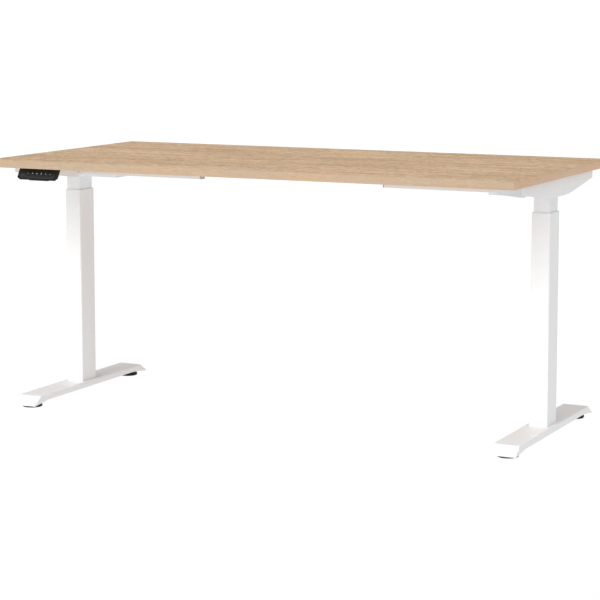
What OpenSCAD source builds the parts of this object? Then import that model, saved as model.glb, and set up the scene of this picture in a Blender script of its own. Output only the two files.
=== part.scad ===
// Height adjustable standing desk: two electric lifting columns on T-shaped feet,
// a telescopic double-rail frame, a laminated top and a handset under its front edge.
// Millimetres. The origin is on the floor under the middle of the top, +X runs to the
// right of a person who sits at the desk, -Y points at that person and +Z is up.

/* [Tabletop] */
// Width of the tabletop, left to right
top_w = 1600; // [1500:10:1800]
// Depth of the tabletop, front to rear
top_d = 800; // [780:10:900]
// Thickness of the tabletop
top_t = 22; // [20:1:28]
// Height of the worktop above the floor
desk_h = 740; // [735:1:745]
// Thickness of the edge band
band_t = 1; // [0.5:0.5:2]

/* [Side arms and rails] */
// Distance from the end of the tabletop to the arm's outer face
arm_inset = 15; // [5:1:20]
// Width of a side arm
arm_w = 76; // [76:1:80]
// Length of a side arm, front to rear
arm_len = 580; // [560:5:640]
// Depth of the arm over the column
arm_mid_h = 51.5; // [50:0.5:54]
// Depth of the arm at its two ends
arm_end_h = 23.5; // [15:0.5:30]
// Length of the deep middle stretch of the arm
arm_flat_len = 170; // [150:5:200]
// Sheet thickness of the arms and the head brackets
sheet_t = 2.5; // [2:0.5:2.5]
// Depth of an outer rail, front to rear
rail_d = 25; // [24:1:26]
// Height of an outer rail
rail_h = 41; // [40:0.5:42]
// Wall of the rails
rail_wall = 2; // [1.5:0.5:2]
// Distance from the middle of the desk to the inner end of an outer rail
rail_end_x = 290; // [250:5:330]
// Length of an inner rail
inner_rail_len = 880; // [800:10:900]

/* [Columns] */
// Width of the outer tube, left to right
outer_w = 53; // [53:1:54]
// Depth of the outer tube, front to rear
outer_d = 80; // [80:1:82]
// Height of the outer tube's top edge above the floor
outer_top = 623; // [600:1:630]
// Width of the inner tube, left to right
inner_w = 46; // [45:0.5:46]
// Depth of the inner tube, front to rear
inner_d = 72; // [71:0.5:72]
// Wall of both tubes
tube_wall = 1.5; // [1.5:0.25:1.75]

/* [Feet] */
// Length of a foot, front to rear
foot_len = 646; // [620:2:700]
// Length of the foot's level top, between the creases
foot_flat_len = 578; // [570:2:590]
// Width of a foot
foot_w = 78; // [74:1:84]
// Height of the foot's top above the floor
foot_h = 34; // [34:1:36]
// Depth of the foot's side flange
foot_flange = 17; // [16:1:18]
// Sheet thickness of the foot
foot_sheet = 3; // [2.5:0.5:3]
// Distance between the two levelling feet under one foot
pad_pitch = 550; // [540:2:556]
// Diameter of a levelling foot
pad_d = 58; // [50:1:60]
// Height of a levelling foot's disc
pad_h = 8; // [7:0.5:8]

/* [Drive] */
// Diameter of the lifting spindle
spindle_d = 16; // [14:1:16]
// Module of the gears
gear_module = 1.25; // [1.25]
// Teeth of the crown gear on the spindle
crown_teeth = 36; // [36]
// Teeth of the pinion on the motor shaft
pinion_teeth = 12; // [12]
// Length of the gear motor, with its gear head
motor_len = 80; // [70:1:90]
// Diameter of the gear motor
motor_d = 41; // [38:1:41]

/* [Handset] */
// Width of the handset
handset_w = 127; // [125:1:140]
// Distance from the handset's middle to the middle of the desk
handset_x = 643.5; // [300:0.5:650]
// Height of the handset's face below the tabletop
handset_h = 30; // [30]
// Set-back of the face's top edge behind its bottom edge
handset_lean = 19; // [19]
// Pitch of the six keys
key_pitch = 15.1; // [15:0.1:15.4]

/* [Control box] */
// Width of the control box
box_w = 250; // [220:5:300]
// Depth of the control box, front to rear
box_d = 110; // [100:5:130]
// Height of the control box under its lid
box_h = 35; // [32:1:36]

/* [Hidden] */
$fn = 64;
eps = 0.01;
fit = 0.05;

under = desk_h - top_t;
web_z = under - sheet_t;
col_x = top_w / 2 - arm_inset - arm_w / 2;
arm_out = col_x + arm_w / 2;
arm_in = col_x - arm_w / 2;

bracket_half = 38;
bracket_reach = 152;
bracket_gap = 2.5;
bracket_drop = 53;
bracket_in = col_x - bracket_reach;
bracket_out = arm_out - sheet_t - bracket_gap;
bracket_z = under - bracket_drop;
bracket_top = web_z;
bracket_r = 3;
rail_r = 2;
rail_y = bracket_half + rail_d / 2;
rail_top = web_z;
rail_z = rail_top - rail_h;
bush_t = 3;
bush_len = 14;
inner_rail_gap = 0.2;
inner_rail_drop = 34.5;
inner_rail_z = under - inner_rail_drop;
inner_rail_top = rail_top - rail_wall - inner_rail_gap;
inner_rail_h = inner_rail_top - inner_rail_z;
inner_rail_mid = (inner_rail_top + inner_rail_z) / 2;
inner_rail_d = rail_d - 2 * rail_wall - 2 * inner_rail_gap;

// Wood screws along an arm, in Y
ARM_SCREWS = [-265, -150, 150, 265];
wood_screw_r = 2.2;
wood_hole_r = 2.6;
wood_head_r = 4.5;
wood_head_t = 2.5;
frame_screw_r = 2.9;
frame_hole_r = 3;

foot_slope = foot_len / 2 - foot_flat_len / 2;
foot_tip_z = 11;
foot_low = foot_h - foot_flange;
foot_taper_y = 248;
foot_bend_r = 4;
sleeve_r = 8;
sleeve_z = 12;
stud_r = 5;
stud_top = 27;
bolt_r = 4;
bolt_x = 14;
bolt_y = 24;

base_plate_t = 8;
base_plate_top = foot_h + base_plate_t;
corner_r = 4;
glide_h = 40;
glide_gap = 0.15;
inner_bottom = 85;
head_plate_t = 6;
head_plate_z = bracket_z - head_plate_t;
nut_tube_r = 14;
nut_tube_wall = 1.5;
nut_z = 545;
nut_len = 40;
spindle_z = 75;

gear_half = 30;
gear_half_y = 32;
gear_floor_t = 4;
gear_h = 34.5;
gear_lid_t = 4;
boss_r = 17;
boss_drop = 7.5;
bearing_r = 14;
bearing_w = 8;
bearing_z = bracket_z - 3;
journal_r = 6;
long_screw_x = 17;
long_screw_y = 27;
long_screw_r = 2.5;
crown_r = gear_module * crown_teeth / 2;
crown_face = 4;
crown_disc_z = bracket_z + 8;
crown_disc_t = 6.6;
tooth_add = 1.1;
tooth_ded = 1.5;
pitch_z = crown_disc_z + crown_disc_t + tooth_ded;
pinion_r = gear_module * pinion_teeth / 2;
motor_z = pitch_z + pinion_r;
motor_face_x = col_x - gear_half;
shaft_r = 4;

face_tilt = atan(handset_lean / handset_h);
face_len = sqrt(handset_lean * handset_lean + handset_h * handset_h);
face_low_y = -top_d / 2 + 3;
face_top_y = face_low_y + handset_lean;
face_low_z = under - handset_h;
chin_y = face_low_y + 2.5;
chin_z = face_low_z - 2.5;
handset_rear_y = face_low_y + 59;
handset_rear_z = under - 15;
shell_t = 2;
// Thickness of the handset's full-width front part, and half the width behind it
front_t = 14.4;
body_half = handset_w / 2 - 20;
corner_cut_x = 13;
corner_cut_y = 8;
right_corner_cut = 3;
key_w = 12.6;
key_h = 15;
key_mid_u = 6.9;
key_mid_v = 0.6;
key_proud = 0.6;
key_gap = 0.2;
handset_board_z = -9.6;
boss_half = 32.5;
handset_ear_x = 34;
handset_ear_y = handset_rear_y + 8;

box_y = 80;
box_wall = 2.5;
lid_z = under - sheet_t;
box_z = lid_z - box_h;
box_rear = box_y + box_d;
ear_x = box_w / 2 + 7;
ear_y = 15;
board_t = 1.6;
socket_depth = 12;
socket_z = box_z + 17;
// Each socket: distance from the middle, width and height
SOCKETS = [[-42, 26, 18], [-6, 14, 10], [18, 14, 10], [42, 12, 9]];

// ---- helpers -------------------------------------------------------------

// A rectangle centred on the origin with round corners
module round_rect(w, d, r) {
    square([w - 2 * r, d], center = true);
    square([w, d - 2 * r], center = true);
    for (sx = [-1, 1])
        for (sy = [-1, 1])
            translate([sx * (w / 2 - r), sy * (d / 2 - r)])
                circle(r);
}

// Extrudes an outline drawn in (Y, Z) along X
module along_x(x0, x1) {
    translate([x0, 0, 0])
        rotate([90, 0, 90])
            linear_extrude(x1 - x0)
                children();
}

// Extrudes an outline drawn in (X, Z) along Y
module along_y(y0, y1) {
    translate([0, y1, 0])
        rotate([90, 0, 0])
            linear_extrude(y1 - y0)
                children();
}

// Extrudes an outline drawn in (X, Y) from z0 to z1
module along_z(z0, z1) {
    translate([0, 0, z0])
        linear_extrude(z1 - z0)
            children();
}

// Everything on a column is drawn for the right side; the left one is turned half a turn
module on_side(side) {
    rotate([0, 0, side > 0 ? 0 : 180])
        children();
}

// Moves to the axis of the right column
module at_column() {
    translate([col_x, 0, 0])
        children();
}

// Repeats its children at the four corners of a rectangle
module four(x, y) {
    for (sx = [-1, 1])
        for (sy = [-1, 1])
            translate([sx * x, sy * y, 0])
                children();
}

// A round rod from z0 to z1
module rod(r, z0, z1) {
    translate([0, 0, z0])
        cylinder(r = r, h = z1 - z0);
}

// ---- tabletop ------------------------------------------------------------

// Where the wood screws go up into the board
module at_tabletop_screws() {
    for (side = [-1, 1])
        for (y = ARM_SCREWS)
            translate([side * col_x, y, 0])
                children();
    for (sx = [-1, 1])
        for (y = [box_y + ear_y, box_rear - ear_y])
            translate([sx * ear_x, y, 0])
                children();
    for (sx = [-1, 1])
        translate([-handset_x + sx * handset_ear_x, handset_ear_y, 0])
            children();
}

module tabletop_board() {
    color("burlywood")
        difference() {
            along_z(under, desk_h)
                square([top_w - 2 * band_t, top_d - 2 * band_t], center = true);
            at_tabletop_screws()
                rod(wood_screw_r + fit, under - 1, under + 15);
        }
}

module edge_bands() {
    color("tan") {
        for (sy = [-1, 1])
            translate([0, sy * (top_d - band_t) / 2, 0])
                along_z(under, desk_h)
                    square([top_w, band_t], center = true);
        for (sx = [-1, 1])
            translate([sx * (top_w - band_t) / 2, 0, 0])
                along_z(under, desk_h)
                    square([band_t, top_d - 2 * band_t], center = true);
    }
}

// Pan-head wood screw with its head against the plate that it holds
module wood_screw() {
    rod(wood_screw_r, web_z - eps, under + 14);
    rod(wood_head_r, web_z - wood_head_t, web_z);
}

module tabletop_screws() {
    color("silver")
        at_tabletop_screws()
            wood_screw();
}

// ---- side arms and rails --------------------------------------------------

// Side view of an arm: deep over the column, tapered to both ends
module arm_profile() {
    polygon([
        [-arm_len / 2, under],
        [-arm_len / 2, under - arm_end_h],
        [-arm_flat_len / 2, under - arm_mid_h],
        [arm_flat_len / 2, under - arm_mid_h],
        [arm_len / 2, under - arm_end_h],
        [arm_len / 2, under]
    ]);
}

// Screws that hold the rails to the arm, in the arm's web
module at_arm_screws() {
    for (x = [col_x - 18, col_x + 18])
        for (sy = [-1, 1])
            translate([x, sy * rail_y, 0])
                children();
}

module side_arm(side) {
    color("whitesmoke")
        on_side(side)
            difference() {
                intersection() {
                    along_x(arm_in, arm_out)
                        arm_profile();
                    translate([col_x, 0, 0])
                        along_y(-arm_len / 2, arm_len / 2)
                            translate([0, under - 40])
                                round_rect(arm_w, 80, bracket_r);
                }
                translate([col_x, 0, 0])
                    along_y(-arm_len / 2 - 1, arm_len / 2 + 1)
                        translate([0, web_z - 40])
                            square([arm_w - 2 * sheet_t, 80], center = true);
                translate([arm_in - 1, -bracket_half - rail_d - 1, under - arm_mid_h - 1])
                    cube([sheet_t + 2, 2 * (bracket_half + rail_d + 1), arm_mid_h - sheet_t + 1]);
                translate([col_x, 0, 0])
                    for (y = ARM_SCREWS)
                        translate([0, y, 0])
                            rod(wood_hole_r, web_z - 1, under + 1);
                at_arm_screws()
                    translate([0, 0, web_z])
                        cylinder(r1 = frame_hole_r, r2 = 5.6, h = sheet_t + eps);
            }
}

module outer_rail(side, front) {
    color("gainsboro")
        on_side(side)
            difference() {
                translate([0, front * rail_y, 0])
                    along_x(rail_end_x + bush_t, bracket_out)
                        translate([0, rail_z + rail_h / 2])
                            round_rect(rail_d, rail_h, rail_r);
                translate([0, front * rail_y, 0])
                    along_x(rail_end_x, bracket_out + 1)
                        translate([0, rail_z + rail_h / 2])
                            square([rail_d - 2 * rail_wall, rail_h - 2 * rail_wall],
                                   center = true);
                at_arm_screws()
                    rod(frame_hole_r, rail_top - 4, rail_top + 1);
                at_clamp_screws()
                    rod(frame_hole_r, rail_z - 1, rail_z + 4);
                at_bracket_screws()
                    rod(frame_hole_r, -4, 4);
            }
}

// Screws that clamp an inner rail inside the outer rails of one side
module at_clamp_screws() {
    for (x = [rail_end_x + 30, rail_end_x + 110])
        for (sy = [-1, 1])
            translate([x, sy * rail_y, 0])
                children();
}

module rail_clamp_screws() {
    color("dimgray")
        for (side = [-1, 1])
            on_side(side)
                at_clamp_screws()
                    rod(frame_hole_r - fit, rail_z + 0.5, inner_rail_z);
}

// Two rails, front and rear, that join the left and right outer rails
module inner_rails() {
    color("silver")
        for (front = [-1, 1])
            translate([0, front * rail_y, 0])
                along_x(-inner_rail_len / 2, inner_rail_len / 2)
                    translate([0, inner_rail_mid])
                        difference() {
                            round_rect(inner_rail_d, inner_rail_h, rail_r);
                            square([inner_rail_d - 2 * rail_wall,
                                    inner_rail_h - 2 * rail_wall], center = true);
                        }
}

// Plastic bush in the end of each outer rail; the inner rail runs through it
module rail_bushes() {
    color("gray")
        for (side = [-1, 1])
            on_side(side)
                for (front = [-1, 1])
                    translate([0, front * rail_y, 0])
                        difference() {
                            union() {
                                along_x(rail_end_x, rail_end_x + bush_t)
                                    translate([0, rail_z + rail_h / 2])
                                        round_rect(rail_d, rail_h, rail_r);
                                along_x(rail_end_x + bush_t - eps, rail_end_x + bush_t + bush_len)
                                    translate([0, rail_z + rail_h / 2])
                                        square([rail_d - 2 * rail_wall - 0.1,
                                                rail_h - 2 * rail_wall - 0.1],
                                               center = true);
                            }
                            along_x(rail_end_x - 1, rail_end_x + bush_t + bush_len + 1)
                                translate([0, inner_rail_mid])
                                    square([inner_rail_d + 0.1, inner_rail_h + 0.1],
                                           center = true);
                        }
}

// Screws through the head bracket's side walls into the rails
module at_bracket_screws() {
    for (x = [bracket_in + 15, bracket_in + 105])
        for (sy = [-1, 1])
            translate([x, sy * bracket_half, bracket_z + 30])
                rotate([-90 * sy, 0, 0])
                    children();
}

module frame_screws() {
    color("silver")
        for (side = [-1, 1])
            on_side(side) {
                at_arm_screws() {
                    translate([0, 0, web_z])
                        cylinder(r1 = frame_screw_r, r2 = 5.4, h = sheet_t);
                    rod(frame_screw_r, rail_top - 8, web_z + eps);
                }
                at_bracket_screws() {
                    rod(frame_screw_r, -sheet_t - eps, 6);
                    rod(5, -sheet_t - 3, -sheet_t);
                }
            }
}

// ---- column heads ---------------------------------------------------------

module head_bracket(side) {
    color("white")
        on_side(side)
            difference() {
                along_x(bracket_in, bracket_out)
                    translate([0, bracket_z + 40])
                        intersection() {
                            round_rect(2 * bracket_half, 80, bracket_r);
                            translate([0, (bracket_top - bracket_z) / 2 - 40])
                                square([2 * bracket_half, bracket_top - bracket_z],
                                       center = true);
                        }
                along_x(bracket_in + sheet_t, bracket_out - sheet_t)
                    translate([0, bracket_z + sheet_t + 40])
                        square([2 * (bracket_half - sheet_t), 80], center = true);
                at_column() {
                    rod(boss_r + 0.2, bracket_z - 1, bracket_z + sheet_t + 1);
                    four(long_screw_x, long_screw_y)
                        rod(long_screw_r + 0.1, bracket_z - 1, bracket_z + sheet_t + 1);
                }
                at_bracket_screws()
                    rod(frame_hole_r + 0.1, -sheet_t - 1, 1);
                translate([bracket_in - 1, -8, bracket_top - 12])
                    cube([sheet_t + 2, 16, 13]);
            }
}

module gearbox(side) {
    color("darkgray")
        on_side(side)
            at_column()
                difference() {
                    union() {
                        along_z(bracket_z + sheet_t, bracket_z + sheet_t + gear_h)
                            round_rect(2 * gear_half, 2 * gear_half_y, 6);
                        rod(boss_r, bracket_z + sheet_t - boss_drop,
                            bracket_z + sheet_t + eps);
                    }
                    rod(crown_r + crown_face, bracket_z + sheet_t + gear_floor_t,
                        bracket_z + sheet_t + gear_h + 1);
                    rod(bearing_r + fit, bearing_z, bracket_z + sheet_t + gear_floor_t + eps);
                    rod(11, bearing_z - 3, bearing_z + eps);
                    four(long_screw_x, long_screw_y)
                        rod(long_screw_r + 0.1, bracket_z, bracket_z + sheet_t + gear_h + 1);
                    translate([-gear_half - 1, 0, motor_z])
                        rotate([0, 90, 0])
                            cylinder(r = 9.5, h = 12);
                }
}

module gearbox_lids() {
    color("gray")
        for (side = [-1, 1])
            on_side(side)
                at_column()
                    difference() {
                        along_z(bracket_z + sheet_t + gear_h,
                                bracket_z + sheet_t + gear_h + gear_lid_t)
                            round_rect(2 * gear_half, 2 * gear_half_y, 6);
                        four(long_screw_x, long_screw_y)
                            rod(long_screw_r + 0.1, bracket_z, under);
                    }
}

// Long screws that clamp lid, gearbox and bracket to the head plate of the inner tube
module gearbox_screws() {
    color("silver")
        for (side = [-1, 1])
            on_side(side)
                at_column()
                    four(long_screw_x, long_screw_y) {
                        rod(long_screw_r, head_plate_z + 1,
                            bracket_z + sheet_t + gear_h + gear_lid_t + eps);
                        rod(4.5, bracket_z + sheet_t + gear_h + gear_lid_t,
                            bracket_z + sheet_t + gear_h + gear_lid_t + 4);
                    }
}

// Sealed gear motor: gear head, can and rear bearing boss on one axis
module motor(side) {
    head_len = 30;
    boss_len = 5;
    color("slategray")
        on_side(side)
            translate([motor_face_x, 0, motor_z])
                rotate([0, -90, 0])
                    difference() {
                        union() {
                            rod(motor_d / 2, 0, head_len);
                            rod(motor_d / 2 - 1, head_len - eps, motor_len - boss_len);
                            rod(8, motor_len - boss_len - eps, motor_len);
                        }
                        rod(shaft_r + fit, -1, 18);
                    }
}

module spindle_bearings() {
    color("lightsteelblue")
        for (side = [-1, 1])
            on_side(side)
                at_column()
                    difference() {
                        rod(bearing_r, bearing_z, bearing_z + bearing_w);
                        rod(journal_r + fit, bearing_z - 1, bearing_z + bearing_w + 1);
                    }
}

// ---- drive ----------------------------------------------------------------

module spindle(side) {
    color("steelblue")
        on_side(side)
            at_column() {
                rod(spindle_d / 2, spindle_z, bearing_z - 0.1);
                rod(journal_r, bearing_z - 0.1 - eps, crown_disc_z + crown_disc_t + 4);
            }
}

// One tooth of the crown gear, as seen along the radius
module crown_tooth() {
    polygon([
        [-1.15, 0],
        [1.15, 0],
        [0.38, tooth_ded + tooth_add],
        [-0.38, tooth_ded + tooth_add]
    ]);
}

module crown_gear(side) {
    rim = crown_r + crown_face / 2;
    color("goldenrod")
        on_side(side)
            at_column()
                difference() {
                    union() {
                        rod(rim + 0.5, crown_disc_z, crown_disc_z + crown_disc_t);
                        rod(10, bearing_z + bearing_w + 0.2, crown_disc_z + eps);
                        translate([0, 0, crown_disc_z + crown_disc_t - eps])
                            for (i = [0 : crown_teeth - 1])
                                rotate([0, 0, i * 360 / crown_teeth])
                                    along_x(rim - crown_face, rim)
                                        crown_tooth();
                    }
                    rod(journal_r, bearing_z, under);
                }
}

// Outline of the pinion: straight-flanked teeth on a root circle
function pinion_points() = [
    for (i = [0 : pinion_teeth - 1])
        for (p = [[pinion_r - tooth_ded, -1.1], [pinion_r + tooth_add, -0.35],
                  [pinion_r + tooth_add, 0.35], [pinion_r - tooth_ded, 1.1]])
            let (a = (i + 0.5) * 360 / pinion_teeth + p[1] / p[0] * 180 / PI)
            [p[0] * cos(a), p[0] * sin(a)]
];

module pinion_shaft(side) {
    color("lightgray")
        on_side(side)
            translate([0, 0, motor_z]) {
                along_x(col_x - crown_r - crown_face / 2, col_x - crown_r + crown_face / 2)
                    polygon(pinion_points());
                translate([motor_face_x - 16, 0, 0])
                    rotate([0, 90, 0])
                        cylinder(r = shaft_r, h = 16 + gear_half - crown_r + 4);
            }
}

// ---- columns --------------------------------------------------------------

module column_inner(side) {
    color("white")
        on_side(side)
            at_column()
                difference() {
                    along_z(inner_bottom, bracket_z)
                        round_rect(inner_w, inner_d, corner_r - 0.5);
                    along_z(inner_bottom - 1, head_plate_z)
                        round_rect(inner_w - 2 * tube_wall, inner_d - 2 * tube_wall,
                                   corner_r - 0.5 - tube_wall);
                    rod(boss_r + 0.2, head_plate_z - 1, bracket_z + 1);
                    four(long_screw_x, long_screw_y)
                        rod(long_screw_r + fit, head_plate_z - 1, bracket_z + 1);
                }
}

// Glide collars round the lower ends of the inner tubes
module lower_glides() {
    cavity_w = outer_w - 2 * tube_wall;
    cavity_d = outer_d - 2 * tube_wall;
    color("ivory")
        for (side = [-1, 1])
            on_side(side)
                at_column()
                    along_z(inner_bottom, inner_bottom + glide_h)
                        difference() {
                            round_rect(cavity_w - 2 * glide_gap, cavity_d - 2 * glide_gap, 2.5);
                            round_rect(inner_w, inner_d, corner_r - 0.5);
                        }
}

module column_outer(side) {
    color("white")
        on_side(side)
            at_column()
                difference() {
                    along_z(foot_h, outer_top)
                        round_rect(outer_w, outer_d, corner_r);
                    along_z(base_plate_top, outer_top + 1)
                        round_rect(outer_w - 2 * tube_wall, outer_d - 2 * tube_wall,
                                   corner_r - tube_wall);
                    four(bolt_x, bolt_y)
                        rod(bolt_r, foot_h - 1, base_plate_top + 1);
                }
}

// Glide collar inside the upper end of the outer tube
module upper_glide(side) {
    color("ivory")
        on_side(side)
            at_column()
                along_z(outer_top - 1 - glide_h, outer_top - 1)
                    difference() {
                        round_rect(outer_w - 2 * tube_wall, outer_d - 2 * tube_wall,
                                   corner_r - tube_wall);
                        round_rect(inner_w + 2 * glide_gap, inner_d + 2 * glide_gap,
                                   corner_r - 0.5);
                    }
}

module nut_tube(side) {
    color("silver")
        on_side(side)
            at_column()
                difference() {
                    rod(nut_tube_r, base_plate_top, nut_z);
                    rod(nut_tube_r - nut_tube_wall, base_plate_top - 1, nut_z + 1);
                }
}

module spindle_nut(side) {
    color("khaki")
        on_side(side)
            at_column()
                difference() {
                    union() {
                        rod(nut_tube_r - nut_tube_wall, nut_z - nut_len, nut_z + eps);
                        rod(nut_tube_r + 3, nut_z, nut_z + 5);
                    }
                    rod(spindle_d / 2 + fit, nut_z - nut_len - 1, nut_z + 6);
                }
}

// ---- feet -----------------------------------------------------------------

// Side view of the foot's sheet: level top, ends that bend down, flange below
module foot_profile() {
    half = foot_len / 2;
    tip_y = half - foot_sheet * sin(foot_angle());
    tip_z = foot_tip_z - foot_sheet * cos(foot_angle());
    polygon([
        [-tip_y, tip_z],
        [-half, foot_tip_z],
        [-foot_flat_len / 2, foot_h],
        [foot_flat_len / 2, foot_h],
        [half, foot_tip_z],
        [tip_y, tip_z],
        [foot_taper_y, foot_low],
        [-foot_taper_y, foot_low]
    ]);
}

function foot_angle() = atan((foot_h - foot_tip_z) / foot_slope);

// Side view of the space under the sheet
module foot_cavity() {
    half = foot_len / 2;
    tip_y = half - foot_sheet * sin(foot_angle());
    tip_z = foot_tip_z - foot_sheet * cos(foot_angle());
    crease_y = foot_flat_len / 2 - foot_sheet * tan(foot_angle() / 2);
    polygon([
        [-tip_y, -1],
        [-tip_y, tip_z],
        [-crease_y, foot_h - foot_sheet],
        [crease_y, foot_h - foot_sheet],
        [tip_y, tip_z],
        [tip_y, -1]
    ]);
}

module foot(side) {
    color("white")
        on_side(side)
            at_column()
                difference() {
                    union() {
                        difference() {
                            intersection() {
                                along_x(-foot_w / 2, foot_w / 2)
                                    foot_profile();
                                along_y(-foot_len / 2, foot_len / 2)
                                    translate([0, foot_h - 40])
                                        round_rect(foot_w, 80, foot_bend_r);
                            }
                            along_x(-foot_w / 2 + foot_sheet, foot_w / 2 - foot_sheet)
                                foot_cavity();
                        }
                        for (sy = [-1, 1])
                            translate([0, sy * pad_pitch / 2, 0])
                                rod(sleeve_r, sleeve_z, foot_h - foot_sheet + eps);
                    }
                    for (sy = [-1, 1])
                        translate([0, sy * pad_pitch / 2, 0])
                            rod(stud_r + fit, sleeve_z - 1, foot_h - foot_sheet);
                    four(bolt_x, bolt_y)
                        rod(bolt_r + 0.3, foot_low, foot_h + 1);
                }
}

// Hex bolts that come up through the foot into the column's base plate
module foot_bolts(side) {
    color("silver")
        on_side(side)
            at_column()
                four(bolt_x, bolt_y) {
                    rod(bolt_r - fit, foot_h - foot_sheet - eps, base_plate_top - 0.5);
                    translate([0, 0, foot_h - foot_sheet - 5.5])
                        cylinder(r = 7.5, h = 5.5, $fn = 6);
                }
}

// Moulded disc on a threaded stud
module levelling_foot(side, front) {
    color("black")
        translate([side * col_x, front * pad_pitch / 2, 0]) {
            rotate_extrude()
                polygon([
                    [0, 0],
                    [pad_d / 2 - 1, 0],
                    [pad_d / 2, 1],
                    [pad_d / 2, pad_h - 1.5],
                    [pad_d / 2 - 1.5, pad_h],
                    [0, pad_h]
                ]);
            rod(stud_r, pad_h - eps, stud_top);
        }
}

// ---- control box ----------------------------------------------------------

// The sockets' outlines, drawn from y0 to y1
module sockets(y0, y1) {
    for (s = SOCKETS)
        translate([s[0] - s[1] / 2, y0, socket_z - s[2] / 2])
            cube([s[1], y1 - y0, s[2]]);
}

module control_box_case() {
    color("black")
        difference() {
            along_z(box_z, lid_z)
                translate([0, (box_y + box_rear) / 2])
                    round_rect(box_w, box_d, 4);
            along_z(box_z + box_wall, lid_z + 1)
                translate([0, (box_y + box_rear) / 2])
                    round_rect(box_w - 2 * box_wall, box_d - 2 * box_wall, 1.5);
            sockets(box_rear - box_wall - 1, box_rear + 1);
        }
}

module control_box_lid() {
    color("dimgray")
        difference() {
            along_z(lid_z, under)
                translate([0, (box_y + box_rear) / 2])
                    union() {
                        round_rect(box_w, box_d, 4);
                        for (y = [ear_y - box_d / 2, box_d / 2 - ear_y])
                            translate([0, y])
                                round_rect(box_w + 28, 18, 6);
                    }
            for (sx = [-1, 1])
                for (y = [box_y + ear_y, box_rear - ear_y])
                    translate([sx * ear_x, y, 0])
                        rod(wood_hole_r, lid_z - 1, under + 1);
        }
}

// Circuit board with its transformer and relays, on four posts
module control_board() {
    board_z = box_z + box_wall + 5;
    color("darkgreen")
        translate([0, box_y + 45, 0]) {
            along_z(board_z, board_z + board_t)
                square([box_w - 20, 70], center = true);
            translate([-60, 0, 0])
                along_z(board_z + 1.5, board_z + 22)
                    square([60, 50], center = true);
            for (x = [10, 40, 70, 100])
                translate([x, -12, 0])
                    along_z(board_z + 1.5, board_z + 17)
                        square([18, 30], center = true);
            four(box_w / 2 - 16, 29)
                rod(3, box_z + box_wall, board_z + 0.1);
        }
}

module socket_block() {
    color("darkslategray")
        difference() {
            translate([-60, box_rear - box_wall - socket_depth - 2, box_z + box_wall])
                cube([118, socket_depth + 2, 27]);
            sockets(box_rear - box_wall - socket_depth, box_rear);
        }
}

// ---- handset --------------------------------------------------------------

// Frame of the leaning face: X along the face, Y up the face, Z out of it
module at_face() {
    translate([-handset_x, (face_low_y + face_top_y) / 2, under - handset_h / 2])
        rotate([90 - face_tilt, 0, 0])
            children();
}

// Outline of the face: its lower left corner is cut deep and its lower right one slightly;
// low is its lower edge and high its upper
module face_outline(half_w, low, high) {
    polygon([
        [-half_w, high],
        [-half_w, low + corner_cut_y],
        [-half_w + corner_cut_x, low],
        [half_w - right_corner_cut, low],
        [half_w, low + right_corner_cut],
        [half_w, high]
    ]);
}

// Side of the shell or of its hollow: the leaning front part over its full width and the
// narrower wedge behind it; inset is the wall that a hollow leaves
module handset_wedge(inset, profile) {
    low = -face_len / 2;
    intersection() {
        along_x(-handset_x - handset_w / 2 + inset, -handset_x + handset_w / 2 - inset)
            polygon(profile);
        at_face()
            along_z(-front_t + inset, 2)
                face_outline(handset_w / 2 - inset, inset > 0 ? low + inset : low - 3, 80);
    }
    along_x(-handset_x - body_half + inset, -handset_x + body_half - inset)
        polygon(profile);
}

module handset_case() {
    color("black")
        difference() {
            union() {
                handset_wedge(0, [
                    [face_top_y, under],
                    [face_low_y, face_low_z],
                    [chin_y, chin_z],
                    [handset_rear_y, handset_rear_z],
                    [handset_rear_y, under]
                ]);
                // Boss for the lead's socket, below the keys
                along_x(-handset_x + key_mid_u - boss_half, -handset_x + key_mid_u + boss_half)
                    polygon([
                        [chin_y + 2, chin_z + 1],
                        [chin_y + 5, chin_z - 2],
                        [handset_rear_y - 6, chin_z + 6],
                        [handset_rear_y - 6, handset_rear_z + 2]
                    ]);
                // Ears for the two wood screws
                for (sx = [-1, 1])
                    translate([-handset_x + sx * handset_ear_x, handset_ear_y - 2, 0])
                        along_z(under - sheet_t, under)
                            round_rect(14, 18, 4);
            }
            handset_wedge(shell_t, [
                [face_top_y - 3, under - 1],
                [face_low_y - 1.2, face_low_z + 4.1],
                [chin_y - 0.6, face_low_z + 3],
                [chin_y + 1.9, chin_z + 2.9],
                [handset_rear_y - shell_t, handset_rear_z + 1.6],
                [handset_rear_y - shell_t, under - shell_t],
                [face_top_y - 1.3, under - shell_t]
            ]);
            for (sx = [-1, 1])
                translate([-handset_x + sx * handset_ear_x, handset_ear_y, 0])
                    rod(wood_hole_r, under - sheet_t - 1, under + 1);
        }
}

// Where the six keys sit on the face, left to right
module at_key(i) {
    at_face()
        translate([key_mid_u + (i - 2.5) * key_pitch, key_mid_v, 0])
            children();
}

module handset_panel() {
    color("dimgray")
        difference() {
            at_face()
                along_z(-2, 0)
                    face_outline(handset_w / 2 - shell_t - 0.1, -14.1, 15.2);
            for (i = [0 : 5])
                at_key(i)
                    along_z(-3, 1)
                        square([key_w + 2 * key_gap, key_h + 2 * key_gap], center = true);
        }
}

// Circuit board behind the keys, with a tact switch under each plunger and the display
module handset_board() {
    color("darkgreen") {
        at_face()
            along_z(handset_board_z, handset_board_z + board_t)
                translate([0, 3.5])
                    square([handset_w - 14, 19], center = true);
        for (i = [0 : 5])
            at_key(i)
                along_z(handset_board_z + board_t - eps, handset_board_z + 4.1)
                    square([6, 6], center = true);
        at_face()
            translate([-handset_w / 2 + 16, key_mid_v, 0])
                along_z(handset_board_z + board_t - eps, -2.5)
                    square([15, 11], center = true);
    }
}

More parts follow.
